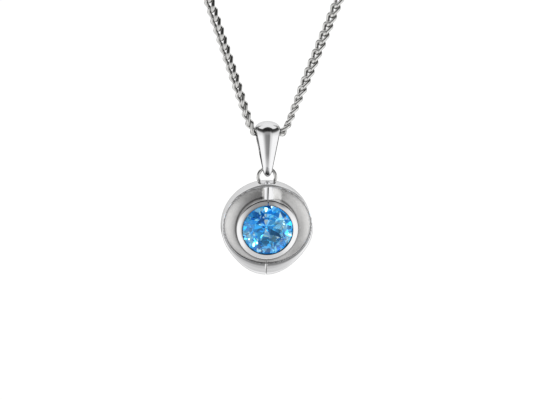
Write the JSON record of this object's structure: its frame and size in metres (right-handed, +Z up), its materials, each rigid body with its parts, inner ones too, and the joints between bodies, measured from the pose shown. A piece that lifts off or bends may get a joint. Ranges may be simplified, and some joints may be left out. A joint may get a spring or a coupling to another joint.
{
  "type": "pendant necklace",
  "caption": "Round pendant with two dished shells and a bezel-set round blue stone, on a tapered bail and a curb chain with a bolt ring clasp",
  "frame": {"origin": "middle of the neck opening, level with the tops of the two straight chain runs", "axes": "+Z up, +X to the viewer's right, the pendant faces -Y and the clasp lies at the nape, on the +Y side"},
  "size_m": [0.098, 0.0962, 0.1429],
  "materials": {
    "polished_silver": "polished rhodium-plated sterling silver, satin in the two dished hollows",
    "blue_topaz": "polished facets",
    "spring_steel": "drawn wire"
  },
  "bodies": {
    "neck_chain": {"neck_chain_left_1": "polished_silver", "neck_chain_left_2": "polished_silver", "neck_chain_left_3": "polished_silver", "neck_chain_left_4": "polished_silver", "neck_chain_left_5": "polished_silver", "neck_chain_right_1": "polished_silver", "neck_chain_right_2": "polished_silver", "neck_chain_right_3": "polished_silver", "neck_chain_right_4": "polished_silver", "neck_chain_right_5": "polished_silver", "clasp_left_ring": "polished_silver", "clasp_end_ring": "polished_silver"},
    "upper_drape": {"upper_chain_left": "polished_silver", "upper_chain_right": "polished_silver"},
    "middle_drape": {"middle_chain_left": "polished_silver", "middle_chain_right": "polished_silver"},
    "lower_drape": {"lower_chain_left_1": "polished_silver", "lower_chain_left_2": "polished_silver", "lower_chain_right_1": "polished_silver", "lower_chain_right_2": "polished_silver", "bail_link": "polished_silver"},
    "bail": {"bail": "polished_silver"},
    "jump_ring": {"jump_ring": "polished_silver"},
    "pendant": {"left_shell": "polished_silver", "right_shell": "polished_silver", "stone_collar": "polished_silver", "stone_seat": "polished_silver", "blue_stone": "blue_topaz", "hanging_eye": "polished_silver"},
    "clasp": {"clasp_body": "polished_silver", "clasp_spring": "spring_steel"},
    "clasp_bolt": {"clasp_bolt": "polished_silver"}
  },
  "joints": [
    {"name": "upper_sway", "type": "hinge", "parent": "neck_chain", "child": "upper_drape", "pos_m": [-0.00033, -0.04498, -0.00917], "axis": [1, 0, 0.0035], "range_deg": [-20, 20]},
    {"name": "middle_sway", "type": "hinge", "parent": "upper_drape", "child": "middle_drape", "pos_m": [-0.00129, -0.045, -0.03047], "axis": [0.9999, 0, -0.0104], "range_deg": [-20, 20]},
    {"name": "lower_sway", "type": "hinge", "parent": "middle_drape", "child": "lower_drape", "pos_m": [-0.00222, -0.045, -0.05727], "axis": [1, 0, 0.0097], "range_deg": [-20, 20]},
    {"name": "bail_tilt", "type": "hinge", "parent": "lower_drape", "child": "bail", "pos_m": [-0.00347, -0.045, -0.085], "axis": [1, 0, 0], "range_deg": [-70, 70]},
    {"name": "ring_swing", "type": "hinge", "parent": "bail", "child": "jump_ring", "pos_m": [-0.00356, -0.045, -0.08926], "axis": [0, 1, 0], "range_deg": [-20, 20]},
    {"name": "pendant_tilt", "type": "hinge", "parent": "jump_ring", "child": "pendant", "pos_m": [-0.00356, -0.045, -0.09155], "axis": [1, 0, 0], "range_deg": [-12, 60]},
    {"name": "clasp_roll", "type": "hinge", "parent": "neck_chain", "child": "clasp", "pos_m": [0.001, 0.046, 0.036], "axis": [1, 0, 0], "range_deg": [-30, 30]},
    {"name": "bolt_slide", "type": "hinge", "parent": "clasp", "child": "clasp_bolt", "pos_m": [0.001, 0.046, 0.036], "axis": [0, -1, 0], "range_deg": [0, 38], "stiffness_Nm_per_rad": 0.0015, "springref_deg": -34.38, "deforming": ["clasp_spring"]}
  ]
}
